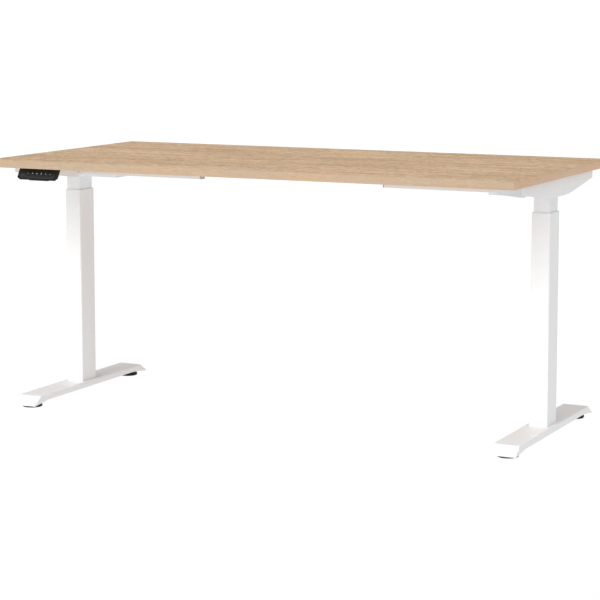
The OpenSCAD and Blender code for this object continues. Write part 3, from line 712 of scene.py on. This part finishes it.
def rail(node):
    """Outer rail: a rectangular tube, drawn from its own box."""
    low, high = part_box(node)
    middle = ((low.y + high.y) / 2, (low.z + high.z) / 2)
    depth = high.y - low.y
    height = high.z - low.z
    outer = rectangle(depth, height, 2 * MM, 6, middle)
    inner = rectangle(depth - 2 * RAIL_WALL, height - 2 * RAIL_WALL, 0.3 * MM, 6, middle)
    bm = tube(bmesh.new(), outer, inner, "X", low.x, high.x)
    piece = eased(mesh_from(node.replace("outer_rail", "rail_tube"), bm), 0.3 * MM, 3)
    settle_white(piece, LIFT, node)


# ---- levelling feet -----------------------------------------------------------------

DISC_H = 8 * MM
DISC_EDGE_R = 2.4 * MM
DISC_RIBS = 12


def disc_profile(radius):
    """Half section of the disc: a hollowed base, a round upper edge, a low cone and a hub."""
    edge = [
        (radius - DISC_EDGE_R * (1 - math.cos(a)), DISC_H - 2.6 * MM + DISC_EDGE_R * math.sin(a))
        for a in (math.pi / 2 * k / 5 for k in range(6))
    ]
    shoulder = DISC_H - 0.9 * MM
    return [
        (0, 0.6 * MM), (radius - 6 * MM, 0.6 * MM), (radius - 5.4 * MM, 0), (radius - 1 * MM, 0),
        (radius, 1 * MM), *edge, (radius * 0.45, shoulder), (8.6 * MM, shoulder), (8.2 * MM, DISC_H),
        (0, DISC_H),
    ]


def levelling_foot(side, end, sign):
    """Ribbed disc with a moulded hub, and the zinc-plated stud that is screwed into the foot."""
    centre = ((1 if side == "right" else -1) * COLUMN_X, sign * PAD_Y)
    node = f"levelling_foot_{end}_{side}"
    body = f"levelling_{end}_{side}"
    bm = lathe(bmesh.new(), disc_profile((pad_high.x - pad_low.x) / 2), 64, (*centre, 0))
    outline = rectangle(13 * MM, 1.4 * MM, 0.4 * MM, 2, (16.5 * MM, 0))
    for k in range(DISC_RIBS):
        rib = prism(bmesh.new(), outline, "Z", DISC_H - 1.4 * MM, DISC_H - 0.35 * MM)
        spin = Matrix.Rotation(2 * math.pi * k / DISC_RIBS, 4, "Z")
        joined(bm, rib, Matrix.Translation((*centre, 0)) @ spin)
    disc = eased(mesh_from(f"levelling_disc_{end}_{side}", bm), 0.25 * MM)
    settle(disc, body, "rubber", node)
    bm = threaded_rod(bmesh.new(), STUD_R, 0.75 * MM, 1.5 * MM, DISC_H - 0.5 * MM, pad_high.z, centre)
    stud = mesh_from(f"levelling_stud_{end}_{side}", bm, 60)
    settle(stud, body, "zinc", node)


# ---- handset ------------------------------------------------------------------------

case_low, case_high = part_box("handset_case")
HANDSET_X = (case_low.x + case_high.x) / 2
HANDSET_HALF = (case_high.x - case_low.x) / 2
FACE_H = 30 * MM
FACE_SET_BACK = 19 * MM
FACE_TILT = math.atan2(FACE_SET_BACK, FACE_H)
FACE_LEN = math.hypot(FACE_SET_BACK, FACE_H)
FACE_LOW_Y = top_low.y + 3 * MM
CASE_REAR = FACE_LOW_Y + 59 * MM
CUT_ACROSS = 13 * MM
CUT_UP = 8 * MM
CUT_RIGHT = 3 * MM
KEYS = ("preset_1", "preset_2", "preset_3", "store", "up", "down")
KEY_PITCH = 15.1 * MM
KEY_W = 12.6 * MM
KEY_H = 15 * MM
KEY_MIDDLE = Vector((6.9 * MM, 0.6 * MM))
FRONT_T = 14.4 * MM
BODY_HALF = HANDSET_HALF - 20 * MM
EAR_X = 34 * MM
CASE_WALL = 2 * MM
CASE_REAR_Z = UNDER - 15 * MM
CHIN_Y = FACE_LOW_Y + 2.5 * MM
CHIN_Z = UNDER - FACE_H - 2.5 * MM
BOSS_HALF = 32.5 * MM
FACE_MIDDLE = Vector((HANDSET_X, FACE_LOW_Y + FACE_SET_BACK / 2, UNDER - FACE_H / 2))
FACE = Matrix.Translation(FACE_MIDDLE) @ Matrix.Rotation(math.pi / 2 - FACE_TILT, 4, "X")


def face_outline(half, low, high, radius):
    """The face's outline: a deep cut at its lower left corner and a small one at the right."""
    return rounded([
        (-half, high, radius * 0.5), (-half, low + CUT_UP), (-half + CUT_ACROSS, low),
        (half - CUT_RIGHT, low), (half, low + CUT_RIGHT), (half, high, radius * 0.5),
    ], radius, 4)


def face_slab(half, low, high, radius, back, front):
    """The face's outline as a solid between two depths behind the face."""
    bm = prism(bmesh.new(), face_outline(half, low, high, radius), "Z", back, front)
    bm.transform(FACE)
    return bm


def case_section():
    """Section of the handset behind its leaning face, in (Y, Z)."""
    return rounded([
        (FACE_LOW_Y + FACE_SET_BACK, UNDER, 0.2 * MM), (FACE_LOW_Y, UNDER - FACE_H, 0.7 * MM),
        (CHIN_Y, CHIN_Z, 0.8 * MM), (CASE_REAR, CASE_REAR_Z, 2 * MM), (CASE_REAR, UNDER, 0.2 * MM),
    ], 0, 4)


def hollow_section():
    """Section of the handset's hollow, a wall's thickness inside its outside, in (Y, Z)."""
    rear = CASE_REAR - CASE_WALL
    top = UNDER - CASE_WALL
    return rounded([
        (FACE_LOW_Y + FACE_SET_BACK + CASE_WALL, top), (FACE_LOW_Y + 2.6 * MM, UNDER - FACE_H + CASE_WALL),
        (CHIN_Y + CASE_WALL, CHIN_Z + 1.2 * CASE_WALL), (rear, CASE_REAR_Z + CASE_WALL), (rear, top),
    ], 0.4 * MM, 3)


def fascia_slab(gap, back, front):
    """The space of the fascia's seat, less a gap all round, between two depths behind the face."""
    low = -FACE_LEN / 2 + 2.2 * MM + gap
    high = FACE_LEN / 2 - 1.2 * MM - gap
    return face_slab(HANDSET_HALF - CASE_WALL - gap, low, high, 1.2 * MM, back, front)


def handset_shell():
    """Leaning front part with cut lower corners, hollow, with a seat for the fascia."""
    across = (case_low.x, case_high.x)
    limit = face_slab(HANDSET_HALF - 0.02 * MM, -FACE_LEN / 2 - 3 * MM, 80 * MM, 0.8 * MM, -FRONT_T, 2 * MM)
    shell = common("handset_shell", prism(bmesh.new(), case_section(), "X", *across), limit)
    inside = common("handset_shell.inside", prism(bmesh.new(), hollow_section(), "X", *across),
                    fascia_slab(0, -FRONT_T + CASE_WALL, 5 * MM))
    hollow = bmesh.new()
    hollow.from_mesh(inside.data)
    bpy.data.objects.remove(inside)
    carved(shell, hollow)
    carved(shell, fascia_slab(0, -2.1 * MM, 5 * MM))
    settle_black(eased(shell, 0.25 * MM, 2, 40), "handset_case")


def handset_housing():
    """Narrower hollow wedge behind the front part."""
    low = HANDSET_X - BODY_HALF
    high = HANDSET_X + BODY_HALF
    housing = mesh_from("handset_housing", prism(bmesh.new(), case_section(), "X", low, high), 40)
    hollow = prism(bmesh.new(), hollow_section(), "X", low + CASE_WALL, high - CASE_WALL)
    front = prism(bmesh.new(), rectangle(0.3, 0.3, 0, 1), "Z", -FRONT_T + 1 * MM, 50 * MM)
    front.transform(FACE)
    carved(housing, hollow)
    carved(housing, front)
    settle_black(eased(housing, 0.4 * MM, 2, 40), "handset_case")


def handset_case():
    """The front part, the wedge behind it, a boss below and two ears."""
    handset_shell()
    handset_housing()
    section = rounded([
        (CHIN_Y + 2 * MM, CHIN_Z + 1.5 * MM), (CHIN_Y + 5 * MM, CHIN_Z - 2 * MM),
        (CASE_REAR - 6 * MM, CHIN_Z + 6 * MM), (CASE_REAR - 6 * MM, CASE_REAR_Z + 2 * MM),
    ], 1.2 * MM, 4)
    middle = HANDSET_X + KEY_MIDDLE.x
    boss = prism(bmesh.new(), section, "X", middle - BOSS_HALF, middle + BOSS_HALF)
    settle_black(eased(mesh_from("handset_boss", boss), 0.8 * MM, 3), "handset_case")
    for name, sign in (("left", -1), ("right", 1)):
        outline = rectangle(14 * MM, 18 * MM, 4 * MM, 6, (HANDSET_X + sign * EAR_X, CASE_REAR + 6 * MM))
        ear = prism(bmesh.new(), outline, "Z", UNDER - STEEL_T, UNDER)
        settle_black(eased(mesh_from(f"handset_ear_{name}", ear), 0.4 * MM), "handset_case")


def key_place(index):
    """Middle of a key in the face's own plane."""
    return KEY_MIDDLE + Vector(((index - (len(KEYS) - 1) / 2) * KEY_PITCH, 0))


WINDOW_X = -48 * MM
WINDOW_W = 17 * MM
WINDOW_H = 13 * MM
FASCIA_GAP = 0.15 * MM
WINDOW_DEEP = 0.5 * MM
DIGIT_H = 7 * MM
DIGIT_PITCH = 4.8 * MM


def handset_panel():
    """Panel with a rounded opening for each key and a smoked window over the display."""
    panel = mesh_from("handset_fascia", fascia_slab(FASCIA_GAP, -2 * MM, 0))
    cutter = bmesh.new()
    for index in range(len(KEYS)):
        opening = rectangle(KEY_W + 0.5 * MM, KEY_H + 0.5 * MM, 1.7 * MM, 5, key_place(index))
        prism(cutter, opening, "Z", -3 * MM, 1 * MM)
    at = (WINDOW_X, KEY_MIDDLE.y)
    prism(cutter, rectangle(WINDOW_W, WINDOW_H, 1.2 * MM, 5, at), "Z", -WINDOW_DEEP, 1 * MM)
    cutter.transform(FACE)
    carved(panel, cutter)
    settle(eased(panel, 0.15 * MM, 2), LIFT, "face", "handset_panel")
    outline = rectangle(WINDOW_W - 0.2 * MM, WINDOW_H - 0.2 * MM, 1.1 * MM, 5, at)
    bm = prism(bmesh.new(), outline, "Z", -WINDOW_DEEP, -0.08 * MM)
    bm.transform(FACE)
    window = eased(mesh_from("display_window", bm), 0.08 * MM)
    settle(window, LIFT, "glass", "handset_panel")


def seven_segments(bm, centre, height):
    """One unlit digit of the display: three level and four upright bars."""
    width = height * 0.52
    bar = height * 0.10
    bars = [(width - bar * 1.2, bar, 0, level * height / 2) for level in (-1, 0, 1)]
    bars += [(bar, height / 2 - bar * 1.2, across * width / 2, level * height / 4)
             for across in (-1, 1) for level in (-1, 1)]
    for across, along, x, y in bars:
        outline = rectangle(across, along, bar * 0.3, 2, (centre.x + x, centre.y + y))
        prism(bm, outline, "Z", -0.10 * MM, -0.06 * MM)


def display():
    """Three unlit digits on the face of the window."""
    bm = bmesh.new()
    for index in range(3):
        seven_segments(bm, Vector((WINDOW_X + (index - 1) * DIGIT_PITCH, KEY_MIDDLE.y)), DIGIT_H)
    bm.transform(FACE)
    settle(mesh_from("display_digits", bm), LIFT, "segment", "handset_panel")


def key_cap(index):
    """Cap with a rounded rim and a shallow dish, on its retaining flange and plunger."""
    at = key_place(index)
    loops = []
    for inset, height in (
            (0.0, -2.2), (0.0, 0.15), (0.12, 0.40), (0.40, 0.56), (0.85, 0.60), (1.7, 0.52), (3.4, 0.42)):
        size = (KEY_W - 2 * inset * MM, KEY_H - 2 * inset * MM)
        loops.append(placed(rectangle(*size, (1.5 - inset * 0.3) * MM, 5, at), "Z", height * MM))
    bm = skin(bmesh.new(), loops)
    flange = rectangle(KEY_W + 1.6 * MM, KEY_H + 1.4 * MM, 0.3 * MM, 2, at)
    prism(bm, flange, "Z", -3.2 * MM, -2.15 * MM)
    prism(bm, circle(2 * MM, 20, at), "Z", -4.4 * MM, -3.15 * MM)
    bm.transform(FACE)
    name = KEYS[index]
    settle(mesh_from(f"key_cap_{name}", bm, 25), f"key_{name}", "key", f"button_{name}")


def key_mark(index):
    """The printed mark of a key: one to three strokes, a ring with a dot, or an arrow."""
    at = key_place(index)
    low, high = 0.40 * MM, 0.52 * MM
    name = KEYS[index]
    bm = bmesh.new()
    if name.startswith("preset"):
        strokes = int(name[-1])
        width = (1.15 - 0.15 * strokes) * MM
        for k in range(strokes):
            x = at.x + (k - (strokes - 1) / 2) * 1.3 * MM
            prism(bm, rectangle(width, 3.4 * MM, 0.3 * MM, 3, (x, at.y)), "Z", low, high)
    elif name == "store":
        tube(bm, circle(1.9 * MM, 32, at), circle(1.35 * MM, 32, at), "Z", low, high)
        prism(bm, circle(0.7 * MM, 20, at), "Z", low, high)
    else:
        up = 1 if name == "up" else -1
        arrow = [(-2.1, -0.4), (0, 1.6), (2.1, -0.4), (2.1, -1.3), (0, 0.7), (-2.1, -1.3)]
        points = [(at.x + u * MM, at.y + up * v * MM) for u, v in arrow]
        prism(bm, rounded(points, 0.15 * MM, 2), "Z", low, high)
    bm.transform(FACE)
    settle(mesh_from(f"key_mark_{name}", bm), f"key_{name}", "mark", f"button_{name}")


# ---- control box ----------------------------------------------------------------------

BOX_WALL = 2.5 * MM
BOX_SLOTS = 7
BOX_RIBS = 9
# Place across, width and height of each socket, in millimetres.
SOCKETS = ((-42, 26, 18), (-6, 14, 10), (18, 14, 10), (42, 12, 9))


def control_box():
    """Ribbed shell with vent slots in both ends and the sockets in its rear wall."""
    low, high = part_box("control_box_case")
    middle = (0, (low.y + high.y) / 2)
    width = high.x - low.x
    depth = high.y - low.y
    socket_z = low.z + 17 * MM
    levels = [(inset * MM, 5 * MM, low.z + rise * MM) for inset, rise in ((1.6, 0), (0.5, 0.5), (0, 1.6))]
    levels += [(0, 5 * MM, high.z), (BOX_WALL, 2.5 * MM, high.z), (BOX_WALL, 2.5 * MM, low.z + BOX_WALL)]
    loops = []
    for inset, corner, z in levels:
        loops.append(placed(rectangle(width - 2 * inset, depth - 2 * inset, corner, 6, middle), "Z", z))
    case = mesh_from("control_box_shell", skin(bmesh.new(), loops))
    cutter = bmesh.new()
    for x, w, h in SOCKETS:
        opening = rectangle(w * MM, h * MM, 1 * MM, 3, (x * MM, socket_z))
        prism(cutter, opening, "Y", high.y - BOX_WALL - 1 * MM, high.y + 1 * MM)
    for k in range(BOX_SLOTS):
        y = middle[1] + (k - (BOX_SLOTS - 1) / 2) * 9 * MM
        slot = rectangle(3 * MM, 18 * MM, 1.4 * MM, 4, (y, socket_z))
        for x in (low.x, high.x):
            prism(cutter, slot, "X", x - 4 * MM, x + 4 * MM)
    carved(case, cutter)
    settle_black(eased(case, 0.3 * MM), "control_box_case")
    ribs = bmesh.new()
    for k in range(BOX_RIBS):
        x = (k - (BOX_RIBS - 1) / 2) * 22 * MM
        outline = rectangle(4 * MM, depth - 24 * MM, 1.9 * MM, 4, (x, middle[1]))
        prism(ribs, outline, "Z", low.z - 0.8 * MM, low.z + 0.2 * MM)
    settle_black(eased(mesh_from("control_box_ribs", ribs), 0.3 * MM), "control_box_case")


# ---- screws ---------------------------------------------------------------------------

def pan_screw(bm, head_r, head_t, shank_r, shank_len):
    """Screw with its head below z = 0 and its shank above it; the head has a hex recess."""
    steps = 24
    corner = head_r * 0.5
    hexagon = []
    for k in range(steps):
        a = 2 * math.pi * k / steps
        reach = corner * math.cos(math.pi / 6) / math.cos(a % (math.pi / 3) - math.pi / 6)
        hexagon.append(Vector((math.cos(a), math.sin(a))) * reach)
    loops = [placed(hexagon, "Z", -head_t * 0.35), placed(hexagon, "Z", -head_t)]
    for share, z in ((0.80, -1.0), (0.95, -0.82), (1.0, -0.45), (1.0, 0.0)):
        loops.append(placed(circle(head_r * share, steps), "Z", head_t * z))
    for share, z in ((1.0, 0.0), (1.0, shank_len), (0.3, shank_len + shank_r)):
        loops.append(placed(circle(shank_r * share, steps), "Z", z))
    return skin(bm, loops)


def screw_group(name, node, places, head_r, head_t, shank_r, shank_len):
    """Identical screws of the lifting frame at their places; each place is a matrix."""
    whole = bmesh.new()
    for place in places:
        joined(whole, pan_screw(bmesh.new(), head_r, head_t, shank_r, shank_len), place)
    settle(mesh_from(name, whole), LIFT, "zinc", node)


def tabletop_screws():
    """Wood screws through arms, control box and handset into the board."""
    sites = [(sign * COLUMN_X, y * MM) for sign in (-1, 1) for y in (-265, -150, 150, 265)]
    lid_low, lid_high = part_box("control_box_lid")
    ear_x = lid_high.x - 7 * MM
    sites += [(sign * ear_x, y) for sign in (-1, 1) for y in (lid_low.y + 15 * MM, lid_high.y - 15 * MM)]
    sites += [(HANDSET_X + sign * EAR_X, CASE_REAR + 8 * MM) for sign in (-1, 1)]
    places = [Matrix.Translation((x, y, UNDER - STEEL_T)) for x, y in sites]
    screw_group("wood_screws", "tabletop_screws", places, 4.5 * MM, 2.5 * MM, 2.2 * MM, 14 * MM)


def frame_screws():
    """Screws into the rails: sideways through the head brackets and down through the arms."""
    low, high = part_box("head_bracket_right")
    flip = Matrix.Rotation(math.pi, 4, "X") @ Matrix.Translation((0, 0, 2.3 * MM))
    places = []
    for _, turn in SIDES:
        for x in (low.x + 15 * MM, low.x + 105 * MM):
            for sign in (-1, 1):
                inside = Matrix.Translation((x, sign * (high.y - STEEL_T), low.z + 30 * MM))
                places.append(turn @ inside @ Matrix.Rotation(-sign * math.pi / 2, 4, "X"))
        for x in (COLUMN_X - 18 * MM, COLUMN_X + 18 * MM):
            for sign in (-1, 1):
                over = Matrix.Translation((x, sign * 50.5 * MM, UNDER - 0.2 * MM))
                places.append(turn @ over @ flip)
    screw_group("frame_screw_set", "frame_screws", places, 5 * MM, 3 * MM, 2.9 * MM, 7 * MM)


def foot_bolts(side, turn):
    """Flanged hex bolts that hold a column on its foot."""
    top = foot_high.z - FOOT_SHEET
    flange_low = top - 1.2 * MM
    bm = bmesh.new()
    for x in (-14 * MM, 14 * MM):
        for y in (-24 * MM, 24 * MM):
            at = (COLUMN_X + x, y)
            prism(bm, circle(7.5 * MM, 6, at), "Z", top - 5.5 * MM, flange_low)
            prism(bm, circle(8.4 * MM, 32, at), "Z", flange_low, top)
            threaded_rod(bm, 3.95 * MM, 0.5 * MM, 1.25 * MM, top - 0.1 * MM, top + 10 * MM, at)
    bm.transform(turn)
    piece = eased(mesh_from(f"foot_bolt_set_{side}", bm), 0.4 * MM, 2)
    settle(piece, f"base_{side}", "zinc", f"foot_bolts_{side}")


# ---- CAD nodes that stay --------------------------------------------------------------

def finished_node(node, material, width):
    """A CAD node whose shape is right: its finish, and slightly rounded edges where that shows."""
    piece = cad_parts[node]
    piece.data.materials.clear()
    piece.data.materials.append(M[material])
    if width:
        weld = piece.modifiers.new("weld", "WELD")
        weld.merge_threshold = 1e-6
        flat = piece.modifiers.new("flat faces", "DECIMATE")
        flat.decimate_type = "DISSOLVE"
        flat.angle_limit = math.radians(0.5)
        eased(piece, width, 2)


# Node, slot, material and width of the eased edges in millimetres.
PAIRED_NODES = (
    ("head_bracket", "white_powder_coat", "white", 0.4),
    ("gearbox", "cast_aluminium", "aluminium", 0.5),
    ("motor", "motor_steel", "motor", 0.5),
    ("pinion_shaft", "bearing_steel", "steel", 0),
    ("crown_gear", "gear_brass", "brass", 0),
    ("spindle", "bearing_steel", "steel", 0),
    ("upper_glide", "acetal", "acetal", 0.3),
    ("nut_tube", "zinc_steel", "zinc", 0),
    ("spindle_nut", "acetal", "acetal", 0),
)
SINGLE_NODES = (
    ("inner_rails", "white_powder_coat", "white", 0.3),
    ("rail_bushes", "grey_plastic", "grey_plastic", 0.3),
    ("rail_clamp_screws", "zinc_steel", "zinc", 0.3),
    ("gearbox_lids", "cast_aluminium", "aluminium", 0.5),
    ("gearbox_screws", "zinc_steel", "zinc", 0),
    ("spindle_bearings", "bearing_steel", "steel", 0.3),
    ("lower_glides", "acetal", "acetal", 0.3),
    ("control_box_lid", "black_plastic", "black_plastic", 0.4),
    ("control_board", "circuit_board", "board", 0),
    ("socket_block", "black_plastic", "black_plastic", 0.2),
    ("handset_board", "circuit_board", "board", 0),
)


def kept_nodes():
    """Finishes every CAD node that no piece stands for."""
    for side, _ in SIDES:
        for node, slot, material, width in PAIRED_NODES:
            finished_node(f"{node}_{side}", material, width * MM)
    for node, slot, material, width in SINGLE_NODES:
        finished_node(node, material, width * MM)


# ---- stage, light and camera --------------------------------------------------------------

def stage():
    """A wide floor that is mostly its own light, so that it reads white without shadows."""
    recipe = Recipe("white floor", Base_Color=(0.06, 0.06, 0.06, 1.0), Roughness=0.9,
                    Emission_Color=(1.0, 1.0, 1.0, 1.0), Emission_Strength=0.95)
    floor = mesh_from("floor", prism(bmesh.new(), circle(60.0, 96), "Z", -0.05, -0.0004))
    floor.data.materials.append(recipe.material)


def world_light(ambient, horizon, zenith, backdrop):
    """A sky that is brightest overhead and in front of the desk, and a white backdrop in view."""
    world = bpy.data.worlds.new("studio")
    world.use_nodes = True
    bpy.context.scene.world = world
    tree = world.node_tree
    white = (1.0, 1.0, 1.0, 1.0)
    place = add_node(tree, "TexCoord").outputs["Generated"]
    parts = add_node(tree, "SeparateXYZ", Vector=place).outputs
    height = add_level(tree, parts["Z"], 0.0, 1.0, horizon, horizon + zenith)
    front = add_level(tree, parts["Y"], -0.6, 0.6, 1.0, 0.0)
    strength = add_math(tree, "MULTIPLY_ADD", height, front, ambient)
    sky = tree.nodes["Background"]
    put(tree, white, sky.inputs["Color"])
    put(tree, strength, sky.inputs["Strength"])
    seen = add_node(tree, "Background", Color=white, Strength=backdrop)
    choice = add_node(tree, "MixShader", Fac=add_node(tree, "LightPath").outputs["Is Camera Ray"])
    put(tree, sky.outputs["Background"], choice.inputs[1])
    put(tree, seen.outputs["Background"], choice.inputs[2])
    put(tree, choice.outputs["Shader"], tree.nodes["World Output"].inputs["Surface"])


def softbox(name, place, target, size, power, spread):
    """A rectangular area light that points at a target and that the camera doesn't see."""
    data = bpy.data.lights.new(name, "AREA")
    data.shape = "RECTANGLE"
    data.size, data.size_y = size
    data.energy = power
    data.spread = math.radians(spread)
    light = bpy.data.objects.new(name, data)
    light.visible_camera = False
    light.location = place
    light.rotation_euler = (Vector(target) - Vector(place)).to_track_quat("-Z", "Y").to_euler()
    bpy.context.scene.collection.objects.link(light)


CAMERA_PLACE = (2.5377, -5.1886, 1.2132)
CAMERA_YAW = math.radians(26.05)
CAMERA_PITCH = math.radians(6.99)
SENSOR_WIDTH = 36.0
FOCAL_LENGTH = 120.57


def camera():
    """The view from the front right, a little above the top, with the upright lines nearly parallel."""
    data = bpy.data.cameras.new("view")
    data.sensor_width = SENSOR_WIDTH
    data.lens = FOCAL_LENGTH
    data.shift_y = -0.1
    data.clip_end = 200.0
    eye = bpy.data.objects.new("view", data)
    eye.location = CAMERA_PLACE
    eye.rotation_euler = (math.pi / 2 - CAMERA_PITCH, 0, CAMERA_YAW)
    bpy.context.scene.collection.objects.link(eye)
    bpy.context.scene.camera = eye


# ---- the desk -------------------------------------------------------------------------------

camera()
tabletop()
for side, turn in SIDES:
    side_arm(side, turn)
    foot(side, turn)
    columns(side, turn)
    foot_bolts(side, turn)
    for end, sign in (("front", -1), ("rear", 1)):
        levelling_foot(side, end, sign)
        rail(f"outer_rail_{end}_{side}")
handset_case()
handset_panel()
display()
for index in range(len(KEYS)):
    key_cap(index)
    key_mark(index)
control_box()
tabletop_screws()
frame_screws()
kept_nodes()

stage()
world_light(ambient=0.338, horizon=0.302, zenith=1.292, backdrop=1.05)
softbox("key", place=(-1.2, -5.0, 1.1), target=(0.0, 0.0, 0.3), size=(2.2, 1.2), power=15.8, spread=180.0)
softbox("low strip", place=(-0.1, -2.2, 0.75), target=(0.0, -0.04, 0.09), size=(2.4, 0.15), power=2.15,
        spread=28.0)
bpy.context.scene.view_settings.view_transform = "Standard"
bpy.context.scene.view_settings.look = "None"
